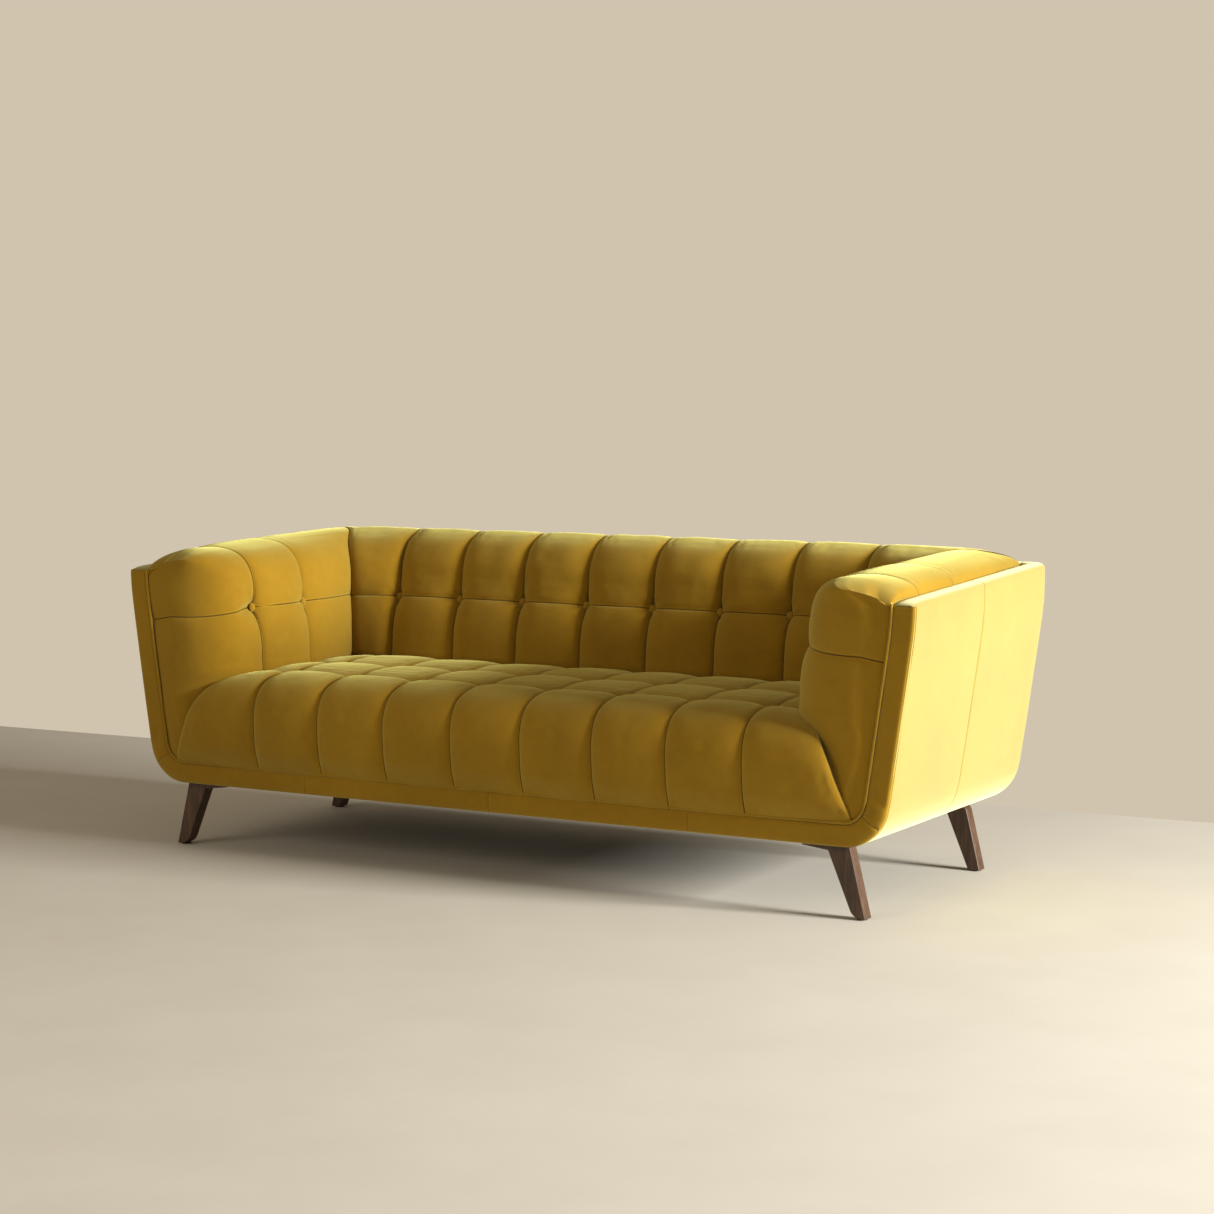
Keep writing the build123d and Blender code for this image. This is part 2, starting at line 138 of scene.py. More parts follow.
def seam_field(grid, seam_rows, seam_columns, spots=(), reach=12.0):
    """1 on a seam line of the grid or at a button's rim, fading to 0 at reach mm from it."""
    nearest = np.full(grid.shape[:2], reach)
    for axis, lines in ((0, seam_rows), (1, seam_columns)):
        step = np.linalg.norm(np.diff(grid, axis=axis), axis=2)
        pad = [(1, 0), (0, 0)] if axis == 0 else [(0, 0), (1, 0)]
        length = np.pad(np.cumsum(step, axis=axis), pad)
        for line in lines:
            nearest = np.minimum(nearest, np.abs(length - np.take(length, [line], axis=axis)))
    # Button rims count as seams here, so the velvet paints a shade ring round each button.
    for spot in spots:
        gap = np.linalg.norm(grid - np.asarray(spot, float), axis=2) - 7.0
        nearest = np.minimum(nearest, np.clip(gap, 0, reach))
    return 1 - nearest / reach


def mark_seams(obj, field):
    """Store how close each point is to a seam, which the velvet material turns into painted shade on the
    seams and button rims (partly the pressed pile's darker tone) and a painted highlight just beside them.
    """
    values = np.zeros(len(obj.data.vertices))
    values[:field.size] = np.clip(field, 0, 1).ravel()
    layer = obj.data.attributes.new("seam", "FLOAT", "POINT")
    layer.data.foreach_set("value", values.astype(np.float32))
    obj["rows"], obj["columns"] = field.shape


def grid_object(name, grid, material, flip=False, closed=None):
    """Skin over a grid of points in mm; closed maps a rim point to the hidden ring that closes the form."""
    rows, columns = grid.shape[:2]
    points = grid.reshape(-1, 3).tolist()
    faces = grid_faces(rows, columns, flip=flip)
    if closed is not None:
        top = list(range(columns))
        right = [i * columns + columns - 1 for i in range(1, rows)]
        bottom = [(rows - 1) * columns + j for j in range(columns - 2, -1, -1)]
        left = [i * columns for i in range(rows - 2, 0, -1)]
        rim = top + right + bottom + left
        ring = [closed(*points[r]) for r in rim]
        inner = list(range(len(points), len(points) + len(ring)))
        points += ring
        hub = len(points)
        points.append(np.mean(ring, axis=0).tolist())
        count = len(rim)
        for k in range(count):
            a, b = rim[k], rim[(k + 1) % count]
            c, d = inner[(k + 1) % count], inner[k]
            quad = (b, a, d, c)
            tri = (c, d, hub)
            faces.append(quad[::-1] if flip else quad)
            faces.append(tri[::-1] if flip else tri)
    return mesh_object(name, points, faces, material)


def catmull(keys, params):
    """Points of the smooth curve through key points, at parameters counted in keys."""
    keys = np.asarray(keys, float)
    ext = np.vstack([2 * keys[0] - keys[1], keys, 2 * keys[-1] - keys[-2]])
    out = []
    for u in params:
        i = min(int(u), len(keys) - 2)
        t = u - i
        p = ext[i:i + 4]
        out.append(0.5 * ((2 * p[1]) + (p[2] - p[0]) * t + (2 * p[0] - 5 * p[1] + 4 * p[2] - p[3]) * t * t
                          + (3 * p[1] - p[0] - 3 * p[2] + p[3]) * t ** 3))
    return np.array(out)


def arc_params(keys, step):
    """Key-index parameters spaced evenly by length along the smooth curve through keys."""
    dense = np.linspace(0, len(keys) - 1, 60 * (len(keys) - 1) + 1)
    curve = catmull(keys, dense)
    length = np.concatenate([[0], np.cumsum(np.linalg.norm(np.diff(curve, axis=0), axis=1))])
    count = max(int(round(length[-1] / step)) + 1, 4)
    return np.interp(np.linspace(0, length[-1], count), length, dense)


def normals_of(grid):
    """Unit normals at the points of a grid."""
    du = np.gradient(grid, axis=0)
    dv = np.gradient(grid, axis=1)
    n = np.cross(du, dv)
    return n / np.maximum(np.linalg.norm(n, axis=2, keepdims=True), 1e-9)


def smoothstep(x):
    x = np.clip(x, 0, 1)
    return x * x * (3 - 2 * x)


def noise2(rows, columns, cells, seed):
    """Smooth value noise on a grid, about -1 to 1."""
    rng = np.random.default_rng(seed)
    ci, cj = cells
    field = rng.uniform(-1, 1, (ci + 3, cj + 3))
    u = np.linspace(0, ci, rows)
    v = np.linspace(0, cj, columns)
    iu, iv = np.minimum(u.astype(int), ci - 1), np.minimum(v.astype(int), cj - 1)
    fu, fv = smoothstep(u - iu)[:, None], smoothstep(v - iv)[None, :]
    a, b = field[iu][:, iv], field[iu + 1][:, iv]
    c, d = field[iu][:, iv + 1], field[iu + 1][:, iv + 1]
    return (a * (1 - fu) + b * fu) * (1 - fv) + (c * (1 - fu) + d * fu) * fv


# ---------------------------------------------------------------- tufted surfaces
def cell_spacing(count, power=1.6):
    """Positions 0 to 1 that crowd towards both ends, where the seams are."""
    u = np.linspace(-1, 1, count)
    return 0.5 + 0.5 * np.sign(u) * (1 - (1 - np.abs(u)) ** power)


def pillow(u, edge=3.0, root=0.52):
    """Puff profile over 0 to 1: steep at the seams and broad in the middle."""
    return np.clip(1 - np.abs(2 * u - 1) ** edge, 0, 1) ** root


def swell(u):
    """How far a cell has left its seam sections for its relaxed middle section."""
    return np.sin(math.pi * np.clip(u, 0, 1)) ** 0.7


class Tuft:
    """Channel-tufted surface lofted through seam sections, with cross seams at given places along them.

    calmer gives, for each section, its shape away from the seam, where buttons and stitches pull less.
    """

    def __init__(self, sections, calmer, params, cross):
        self.params = np.asarray(params, float)
        self.cross = cross
        curves = [catmull(s, self.params) for s in sections]
        calm = [catmull(s, self.params) for s in calmer]
        rows, where = [], []
        for k in range(len(curves) - 1):
            steps = cell_spacing(CELL_ROWS + 1)
            if k < len(curves) - 2:
                steps = steps[:-1]
            for u in steps:
                w = swell(u)
                tight = curves[k] * (1 - u) + curves[k + 1] * u
                loose = calm[k] * (1 - u) + calm[k + 1] * u
                rows.append(tight * (1 - w) + loose * w)
                where.append(u)
        self.base = np.array(rows)
        self.where = np.array(where)

    def seam_rows(self):
        """Rows on the seams, and the two end rows, where the pad meets its neighbour."""
        return [0] + [i for i, u in enumerate(self.where) if u == 0 and i > 0] + [len(self.where) - 1]

    def seam_columns(self):
        """Columns on the cross seams."""
        return [int(np.argmin(np.abs(self.params - c))) for c in self.cross]

    def cross_rise(self, sharp):
        """0 on a cross seam, rising to 1 over about sharp mm along the sections."""
        middle = self.base[len(self.base) // 2]
        length = np.concatenate([[0], np.cumsum(np.linalg.norm(np.diff(middle, axis=0), axis=1))])
        rise = np.ones(len(self.params))
        for c in self.cross:
            at = np.interp(c, self.params, length)
            rise = np.minimum(rise, 1 - np.exp(-(np.abs(length - at) / sharp) ** 0.85))
        return rise


def insert_cross(params, cross, spread):
    """Add close-spaced parameters around each cross seam so that its groove is crisp."""
    extra = []
    for c in cross:
        extra += [c + d * spread for d in (-1.0, -0.55, -0.28, -0.12, 0, 0.12, 0.28, 0.55, 1.0)]
    merged = [p for p in params if all(abs(p - c) > spread * 1.25 for c in cross)] + extra
    return np.array(sorted(p for p in merged if 0 <= p <= params[-1]))


def puffed(tuft, lift, cross_depth, cross_sharp):
    """Raise the cells of a tufted surface along its normals by up to lift, given along the sections."""
    normal = normals_of(tuft.base)
    shape = pillow(tuft.where)
    profile = 1 - cross_depth * (1 - tuft.cross_rise(cross_sharp))
    height = lift[None, :] * shape[:, None] * profile[None, :]
    return tuft.base + normal * height[..., None], normal, shape


def pull(grid, normal, centre, depth, radius):
    """Press a round dimple into a surface against its normal."""
    d = np.linalg.norm(grid - np.asarray(centre, float), axis=2)
    w = np.exp(-(d / radius) ** 2)
    return grid - normal * (depth * w)[..., None]


def pucker(grid, normal, centre, reach, waves, height, phase):
    """Fine radial folds that run out from a button and fade."""
    rel = grid - np.asarray(centre, float)
    d = np.linalg.norm(rel, axis=2)
    side = np.cross(normal, [0.0, 0.0, 1.0])
    side /= np.maximum(np.linalg.norm(side, axis=2, keepdims=True), 1e-9)
    a = np.arctan2(rel[..., 2], (rel * side).sum(axis=2))
    fade = np.exp(-((d - 22) / reach) ** 2) * smoothstep((d - 8) / 12)
    return grid + normal * (height * fade * np.cos(waves * a + phase))[..., None]


def seam_free(obj):
    """True for the points of the face grid, False for its rim and the hidden ring behind it."""
    free = np.zeros(len(obj.data.vertices), bool)
    rows, columns = obj["rows"], obj["columns"]
    inside = np.zeros((rows, columns), bool)
    inside[3:-3, 3:-3] = True
    free[:rows * columns] = inside.ravel()
    return free


def cloth_settle(obj, slack, push, frames=9):
    """Let the velvet settle over its filling: held where it is sewn, a little slack between the seams."""
    scene = bpy.context.scene
    seam = np.zeros(len(obj.data.vertices), np.float32)
    obj.data.attributes["seam"].data.foreach_get("value", seam)
    free = seam_free(obj)
    hold = np.where(free, 0.28 + 0.72 * smoothstep(seam / 0.6), 1.0)
    group = obj.vertex_groups.new(name="sewn")
    for index, weight in enumerate(hold):
        group.add([index], float(weight), "REPLACE")
    modifier = obj.modifiers.new("settle", "CLOTH")
    cloth = modifier.settings
    cloth.quality = 6
    cloth.mass = 0.25
    cloth.tension_stiffness = 18
    cloth.compression_stiffness = 18
    cloth.shear_stiffness = 6
    cloth.bending_stiffness = 0.6
    cloth.vertex_group_mass = "sewn"
    cloth.shrink_min = -slack
    cloth.effector_weights.gravity = 0.0
    cloth.use_pressure = True
    cloth.uniform_pressure_force = push
    modifier.collision_settings.use_collision = False
    modifier.point_cache.frame_end = frames
    for step in range(1, frames + 1):
        scene.frame_set(step)
    settled = obj.evaluated_get(bpy.context.evaluated_depsgraph_get())
    points = np.zeros(3 * len(seam), np.float32)
    settled.data.vertices.foreach_get("co", points)
    start = np.zeros_like(points)
    obj.data.vertices.foreach_get("co", start)
    moved = (points - start).reshape(-1, 3)
    far = np.maximum(np.linalg.norm(moved, axis=1, keepdims=True) / SETTLE_CAP, 1.0)
    points = start + (moved / far).ravel()
    obj.modifiers.clear()
    obj.vertex_groups.clear()
    obj.data.vertices.foreach_set("co", points)
    obj.data.update()
    scene.frame_set(1)


def finish_pad(obj, field, slack, push, node):
    """Mark the seams, let the velvet settle, and stand for the CAD node."""
    mark_seams(obj, field)
    cloth_settle(obj, slack, push)
    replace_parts(obj, node)


def relaxed(keys, slack):
    """Section midway between two seams, which stands slack mm prouder than the seam's at each key."""
    return [(a - d, z) for (a, z), d in zip(keys, slack + [0] * (len(keys) - len(slack)))]


# Seam sections: the back's keys are (y, z), the corner's (inset along the crease, z), the arm's (x, z).
# The first key is hidden and the last is tucked behind the pad.
BACK_KEYS = [(190, 395), (185, 428), (187, 472), (192, 518), (205, 558), (229, 593), (232, 616), (234, 645),
             (238, 684), (256, 724), (278, 748), (305, 763), (330, 766), (354, 757), (371, 741), (383, 720)]
BACK_CALM = relaxed(BACK_KEYS, [0, 0, 1, 2, 6, 16, 11, 5])
CORNER_KEYS = [(-6, 395), (-5, 428), (-8, 472), (-6, 518), (0, 558), (8, 593), (5, 616), (3, 645),
               (8, 684), (24, 721), (48, 745), (80, 761), (110, 766), (145, 761), (180, 747), (207, 720)]
ARM_KEYS = [(905, 222), (834, 330), (766, 425), (762, 470), (763, 510), (771, 545), (785, 574), (806, 597),
            (793, 618), (788, 650), (797, 690), (818, 720), (850, 737), (895, 745), (940, 744), (980, 736),
            (1008, 722), (1017, 702)]
ARM_CALM = relaxed(ARM_KEYS, [0, 0, 0, 0, 1, 6, 15, 31, 15, 5, 2])
CORNER_ARM_KEYS = [(-6, 222), (-6, 330), (-5, 428), (-8, 472), (-6, 510), (-3, 545), (2, 574), (8, 597),
                   (5, 618), (3, 650), (8, 686), (24, 721), (50, 747), (86, 762), (118, 765), (148, 758),
                   (182, 745), (207, 720)]


def mitre_point(side, inset, z):
    turned_in = 24.0 * math.exp(-((inset - 90.0) / 50.0) ** 2)
    return (side * (CORNER[0] + inset - turned_in), CORNER[1] + MITRE * inset, z)


def arm_rise(y, z):
    """How much higher the arm's top is at y than at the first row."""
    return SLOPE * (y - ROW_1) * np.clip((z - 600.0) / 140.0, 0, 1)


def back_sections(keys):
    sections = [[mitre_point(-1, e, z) for e, z in CORNER_KEYS]]
    for x in SEAM_X:
        sections.append([(x, y, z) for y, z in keys])
    sections.append([mitre_point(1, e, z) for e, z in CORNER_KEYS])
    return sections


def make_back(material):
    sections = back_sections(BACK_KEYS)
    cross = [5.0]
    params = insert_cross(arc_params(sections[4], SECTION_STEP), cross, 0.4)
    tuft = Tuft(sections, back_sections(BACK_CALM), params, cross)
    t = tuft.params
    foot = smoothstep((t - 0.4) / 1.2)
    crest = 1 - 0.80 * smoothstep((t - 7.8) / 3.4) - 0.20 * smoothstep((t - 12.5) / 2.0)
    out, normal, shape = puffed(tuft, 24.0 * foot * crest, 0.26, 8.0)
    out = out + normal * (1.4 * noise2(*out.shape[:2], (40, 9), 3) * shape[:, None])[..., None]
    spots = [(x, *BACK_BUTTON) for x in SEAM_X]
    for index, spot in enumerate(spots):
        out = pull(out, normal, spot, 6.0, 22)
        out = pucker(out, normal, spot, 26, 7, 1.2, index * 1.3)
    obj = grid_object("back_tufted_pad", out, material, flip=out_facing(out, (0, -1, 0.3)),
                      closed=lambda x, y, z: (x * 0.985, 367.0, min(max(z, 380.0), 715.0)))
    field = seam_field(out, tuft.seam_rows(), tuft.seam_columns(), spots)
    finish_pad(obj, field, 0.0035, 0.5, "back_quilted_cover")


def out_facing(grid, direction):
    """True when the grid's faces have to be flipped to face the given direction."""
    middle = normals_of(grid)[grid.shape[0] // 2, grid.shape[1] // 3]
    return float(np.dot(middle, direction)) < 0


def arm_section(y, keys):
    return np.array([(x, y, z + arm_rise(y, z)) for x, z in keys])


def arm_wrap(params, seam, calm):
    """Front panel of an arm: from the welt across the front face and round to the first seam."""
    t = params
    welt = front_edge(t)
    upper = smoothstep((t - 9.0) / 4.0)
    low = 1 - smoothstep(t / 2.0)
    reach = (165.0 * (1 - low) + 14.0 * low) * (1 - upper) + 40.0 * upper
    reach = np.minimum(reach, welt[:, 0] - 3.0 - calm[:, 0])
    depth = ROW_1 - FRONT
    top_drop = 20.0 * smoothstep((t - 9.5) / 2.5)
    face_steps, turn_steps = ((18, 46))
    dip = 20.0 * np.exp(-((t - 7.0) / 2.2) ** 2)
    swell_out = 2.0 * (1 - upper) * (1 - 0.7 * low)
    start = np.stack([calm[:, 0] + reach, np.full_like(t, FRONT), calm[:, 2] - top_drop - dip], axis=1)
    shoulder = np.interp(start[:, 0], [873, 930, 975, 1004], [722, 718, 708, 690])
    extra = np.maximum(start[:, 2] - shoulder, 0)
    start[:, 2] -= extra
    rows = []
    for i in range(face_steps):
        f = 1 - (1 - i / face_steps) ** 0.8
        line = welt * (1 - f) + start * f
        line[:, 1] -= swell_out * math.sin(math.pi / 2 * f) ** 0.7
        rows.append(line)
    curve = 0.86 - 0.30 * upper
    for i in range(turn_steps):
        q = 1 - (1 - i / turn_steps) ** 1.4
        angle = q * math.pi / 2
        near = smoothstep((q - 0.62) / 0.38) ** 1.5
        base = calm * (1 - near) + seam * near
        x = base[:, 0] + reach * (1 - math.sin(angle) ** curve)
        y = ROW_1 - depth * math.cos(angle) ** curve
        z = base[:, 2] - top_drop * math.cos(angle) ** 2.2 - dip * math.cos(angle) ** 1.5
        z = z - extra * math.cos(angle) ** 1.5
        bulge = 13.0 * pillow(0.5 + q / 2) * math.sin(angle) ** 0.8
        x = x - bulge * (1 - upper) * (1 - low)
        z = z + 4.0 * math.sin(math.pi * q) ** 0.6 * upper
        y = y - swell_out * math.cos(angle)
        rows.append(np.stack([x, y, z], axis=1))
    return np.array(rows)


def press_wrap(grid, normal, count, tuft):
    """Sink the cross seam into the front panel, fading out towards the first seam."""
    narrow = tuft.cross_rise(8.0)
    wide = tuft.cross_rise(30.0)
    wide[np.abs(tuft.params - 7.0) > 4.5] = 1.0
    press = np.linspace(2.6, 4.2, count)[:, None] * (1 - narrow)[None, :]
    press = press + np.linspace(4.0, 7.0, count)[:, None] * (1 - wide)[None, :]
    press *= smoothstep(np.arange(count, 0, -1) / (14.0))[:, None]
    grid[:count] -= normal[:count] * press[..., None]


def make_arm(side, material):
    word = "left" if side < 0 else "right"
    calm_1, calm_2 = arm_section(ROW_1, ARM_CALM), arm_section(ROW_2, ARM_CALM)
    seam_1 = 0.75 * arm_section(ROW_1, ARM_KEYS) + 0.25 * calm_1
    seam_2 = 0.45 * arm_section(ROW_2, ARM_KEYS) + 0.55 * calm_2
    corner = [mitre_point(1, e, z) for e, z in CORNER_ARM_KEYS]
    cross = [7.0]
    t = insert_cross(arc_params(seam_1, SECTION_STEP), cross, 0.4)
    wrap = arm_wrap(t, catmull(seam_1, t), catmull(calm_1, t))
    tuft = Tuft([seam_1, seam_2, corner], [calm_1, calm_2, corner], t, cross)
    foot = smoothstep((t - 1.2) / 1.4)
    crest = 1 - 0.80 * smoothstep((t - 9.2) / 3.2) - 0.20 * smoothstep((t - 14.5) / 2.0)
    body = puffed(tuft, -22.0 * foot * crest, 0.20, 8.0)[0]
    grid = np.concatenate([wrap, body])
    normal = normals_of(grid)
    if normal[len(grid) // 2, len(t) // 3, 0] > 0:
        normal = -normal
    press_wrap(grid, normal, len(wrap), tuft)
    for index, y in enumerate((ROW_1, ROW_2)):
        spot = (ARM_BUTTON_X[index], y, ARM_BUTTON_Z)
        grid = pull(grid, normal, spot, 3.0, 24)
        grid = pucker(grid, normal, spot, 32, 7, 1.3, index * 2.0 + side)
    grid = grid + normal * (0.7 * noise2(*grid.shape[:2], (14, 9), 11 + side))[..., None]
    grid[..., 0] *= side

    def behind(_, y, z):
        low = min(z, 700.0)
        return side * float(outline_x(low, 54.0)), max(y, FRONT + 11.0), low

    obj = grid_object(word + "_arm_tufted_pad", grid, material, flip=out_facing(grid, (-side, 0, 0)),
                      closed=behind)
    seam_rows = [len(wrap) + r for r in tuft.seam_rows()]
    spots = [(side * x, y, ARM_BUTTON_Z) for x, y in zip(ARM_BUTTON_X, (ROW_1, ROW_2))]
    field = seam_field(grid, seam_rows, tuft.seam_columns(), spots)
    finish_pad(obj, field, 0.0015, 0.4, word + "_arm_quilted_cover")


def outline(inset):
    """Right-hand outline of the shell moved in by inset, from the top of the slant to the rail: (x, z)."""
    run = (HALF_WIDTH - SLANT_FOOT[0], KNEE_Z - SLANT_FOOT[1])
    length = math.hypot(*run)
    up = (run[0] / length, run[1] / length)
    inward = (-up[1], up[0])
    cz = BASE + CORNER_R
    drop = (KNEE_Z + CORNER_R * inward[1] - cz) / up[1]
    cx = HALF_WIDTH + CORNER_R * inward[0] - drop * up[0]
    radius = CORNER_R - inset
    slide = -inset * (1 + inward[0]) / up[0]
    knee = (HALF_WIDTH - inset, KNEE_Z + inset * inward[1] + slide * up[1])
    start = (cx - radius * inward[0], cz - radius * inward[1])
    lean = math.atan2(-inward[1], -inward[0])
    return knee, start, (cx, cz), radius, lean


def outline_x(z, inset=0.0):
    """Half width of the shell at a height, moved in by inset, with the knee rounded."""
    knee, start, centre, radius, _ = outline(inset)
    z = np.asarray(z, float)
    slope = (knee[0] - start[0]) / (knee[1] - start[1])
    slanted = start[0] + (z - start[1]) * slope
    soft = 16.0
    d = (knee[0] - slanted)
    x = knee[0] - 0.5 * (d + np.sqrt(d * d + (soft * slope * 2) ** 2)) + soft * slope * 0.4
    low = z < start[1]
    dz = np.clip(centre[1] - z, -radius, radius)
    arc = centre[0] + np.sqrt(np.maximum(radius ** 2 - dz ** 2, 0))
    return np.where(low, arc, x)


def front_edge(params):
    """Where the arm pad's front face meets the welt, matched to the section parameters."""
    heights = [221, 300, 392, 430, 470, 505, 535, 567, 583, 608, 644, 668, 679, 685, 689, 692, 695, 697]
    z = np.interp(params, range(len(heights)), heights)
    x = outline_x(z, 56.6)
    tip = np.clip((z - 668) / 30.0, 0, 1)
    x = x - 2.0 * tip
    return np.stack([x, np.full_like(z, FRONT + 4.0), z], axis=1)


# ---------------------------------------------------------------- seat
# sections (y, z); at the ends of the seat each key also has its half width and how far it drops
SEAT_KEYS = [(-391, 206), (-395, 217), (-406, 262), (-411, 310), (-411, 352), (-401, 389), (-380, 415),
             (-345, 431), (-300, 437), (-257, 434), (-215, 438), (-160, 441), (-105, 440), (-64, 434),
             (-22, 438), (35, 441), (95, 437), (150, 431), (188, 422), (205, 404)]
SEAT_EDGE = [900, 912, 897, 878, 862, 842, 822, 801, 788, 781,
             779, 777, 776, 775, 775, 776, 778, 782, 790, 800]

SEAT_DROP = [0, 0, 3, 6, 9, 12, 14, 15, 16, 16, 16, 16, 16, 16, 16, 16, 14, 10, 5, 0]


def seat_end(side):
    return [(side * (x + 14), y + 4, z - drop) for x, drop, (y, z) in zip(SEAT_EDGE, SEAT_DROP, SEAT_KEYS)]


def make_seat(material):
    middle = [[(x, y, z) for y, z in SEAT_KEYS] for x in SEAM_X]
    sections = [seat_end(-1)] + middle + [seat_end(1)]
    cross = [9.0, 13.0]
    params = insert_cross(arc_params(sections[4], SECTION_STEP), cross, 0.42)
    tuft = Tuft(sections, sections, params, cross)
    t = tuft.params
    rolled = smoothstep((t - 0.6) / 1.6) * (1 - smoothstep((t - 16.5) / 2.5))
    out, normal, shape = puffed(tuft, 15.0 * rolled, 0.55, 16.0)
    out = out + normal * (1.2 * noise2(*out.shape[:2], (36, 12), 5) * shape[:, None])[..., None]
    for x in SEAM_X:
        for key in cross:
            spot = (x, *SEAT_KEYS[int(key)])
            out = pull(out, normal, spot, 6.0, 24)
            out = pucker(out, normal, spot, 24, 5, 0.7, x)
    obj = grid_object("seat_tufted_pad", out, material, flip=out_facing(out, (0, -0.5, 1)),
                      closed=lambda x, y, z: (x * 0.97, min(max(y, -380.0), 180.0), 226.0))
    field = seam_field(out, tuft.seam_rows(), tuft.seam_columns())
    finish_pad(obj, field, 0.0035, 0.5, "seat_quilted_cover")


# ---------------------------------------------------------------- shell
def shell_top(y):
    """Height of the shell's top edge, which rounds off at the very front."""
    y = np.asarray(y, float)
    return TOP_FRONT + SLOPE * (y - FRONT) - 8.0 * np.exp(-(y - FRONT) / 14.0)


LIP = ((18, 0.5), (27, 0.9), (36, 0.6), (44, -0.4), (50, -2.0), (54, -7.0), (57, -18.0))  # inset, rise
EDGE_R = 11.0  # radius of the shell's outer top edge


def shell_levels():
    """Vertical stations: (kind, a, b) from the underside up and over to the inner crease."""
    levels = [("under", 16.0, 0.0), ("under", 6.0, 0.0)]
    for k in range(15):
        levels.append(("arc", k / 14.0, 0.0))
    steps = 44
    for k in range(1, steps):
        levels.append(("wall", k / steps, 0.0))
    for k in range(7):
        levels.append(("round", k / 6.0 * math.pi / 2, 0.0))
    return levels + [("top", inset, rise) for inset, rise in LIP]


def shell_point(level, top):
    """Height, half width and inset of one level of the shell where its top edge is at the given height."""
    kind, a, b = level
    _, start, centre, radius, lean = outline(0.0)
    if kind == "under":
        return BASE, centre[0] - a, 0.0
    if kind == "arc":
        angle = -math.pi / 2 + a * (math.pi / 2 + lean)
        return centre[1] + radius * math.sin(angle), centre[0] + radius * math.cos(angle), 0.0
    if kind == "wall":
        z = start[1] + (top - EDGE_R - start[1]) * a
        return z, float(outline_x(z)), 0.0
    if kind == "round":
        return top - EDGE_R + EDGE_R * math.sin(a), HALF_WIDTH, EDGE_R * (1 - math.cos(a))
    return top + b, HALF_WIDTH, a


def rear_tuck(z):
    """How far the back panel's foot rounds forward."""
    foot = 16.0
    over = max(0.0, foot - (z - BASE))
    return foot - math.sqrt(max(foot * foot - over * over, 0.0))


def groove(distance, depth, width):
    """Depth of a seam's groove at a distance from it."""
    return depth * math.exp(-(distance / width) ** 2)


def bow(z, top):
    """How much a panel bows out between its foot and its top edge, 0 to 1."""
    return math.sin(math.pi * np.clip((z - 170) / (top - 175), 0, 1))


def side_stations():
    """Positions along a side cover: straight run, rear corner, and a little of the back."""
    marks = [0, 1.2, 2.6, 4.5, 7, 11, 18, 30]
    ys = [FRONT + 3 + m for m in marks]
    step = 11
    ys += list(np.arange(ys[-1] + step, -14, step)) + [-12, -8, -5, -3, -1.5, 0, 1.5, 3, 5, 8, 12]
    ys += list(np.arange(14 + step, REAR - REAR_R - 2, step))
    run = [("run", y) for y in ys]
    turn = [("turn", a) for a in np.linspace(0, math.pi / 2, 16)]
    return run + turn + [("rear", 1.5), ("rear", 3.0), ("rear", 4.0)]


def side_run_point(level, y, top):
    """Point of the straight part of a side cover, with its middle seam at y = 0."""
    z, half, inset = shell_point(level, top)
    soft = 2.6 * bow(z, top) if inset == 0 else 0.0
    if inset >= 50 and y < FRONT + 16:
        z = top - 3.0
    front = y - (FRONT + 3)
    soft -= groove(front, 3.0, 2.2) + groove(y, 2.4, 2.2)
    crown = math.sin(math.pi * np.clip((y - FRONT) / -FRONT, 0, 1)) if y < 0 else 1.0
    crown = abs(crown) ** 0.5
    if inset > 0 and level[0] == "top":
        z -= groove(front, 2.0, 2.4) + groove(y, 0.8, 2.0) * (inset < 50)
    return half - inset + soft * crown, y, z


def side_cover_point(level, station):
    kind, value = station
    if kind == "run":
        return side_run_point(level, value, float(shell_top(min(value, REAR_PANEL))))
    y = REAR - REAR_R + REAR_R * math.sin(value) if kind == "turn" else REAR
    top = float(shell_top(min(y, REAR_PANEL)))
    z, half, inset = shell_point(level, top)
    soft = 2.6 * bow(z, top) * 0.6 if inset == 0 else 0.0
    if kind == "turn":
        radius = REAR_R - inset + soft
        back = (radius - rear_tuck(z)) * math.sin(value)
        return half - REAR_R + radius * math.cos(value), REAR - REAR_R + back, z
    sink = groove(value - 4.0, 2.2, 1.8)
    dip = 0.8 * sink if inset > 0 else 0.0
    return half - REAR_R - value, REAR - inset - rear_tuck(z) + soft - sink, z - dip


def make_side_cover(side, material):
    word = "left" if side < 0 else "right"
    levels, stations = shell_levels(), side_stations()
    grid = np.array([[side_cover_point(level, s) for level in levels] for s in stations])
    grid[..., 0] += 0.5 * noise2(grid.shape[0], grid.shape[1], (12, 8), 21 + side)
    grid[..., 0] *= side

    def behind(x, y, z):
        return x - side * 12, min(max(y, -375.0), 405.0), min(z + 6, 690.0)

    obj = grid_object(word + "_outer_arm_upholstery", grid, material, flip=out_facing(grid, (side, 0, 0)),
                      closed=behind)
    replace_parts(obj, word + "_outer_arm_cover")


def back_cover_point(level, u, top):
    """Point of the outside back at u from -1 (left seam) to 1 (right seam)."""
    z, half, inset = shell_point(level, top)
    reach = half - REAR_R - 4.0
    soft = 5.0 * bow(z, top) ** 0.8 * (1 - abs(u) ** 6) if inset == 0 else 0.0
    sink = groove((1 - abs(u)) * reach, 2.2, 1.8)
    tuck = rear_tuck(z) + (3.0 * (level[1] - 1.0) if level[0] == "under" else 0.0)
    dip = 0.8 * sink if inset > 0 else 0.0
    return u * reach, REAR - inset - tuck + soft - sink, z - dip


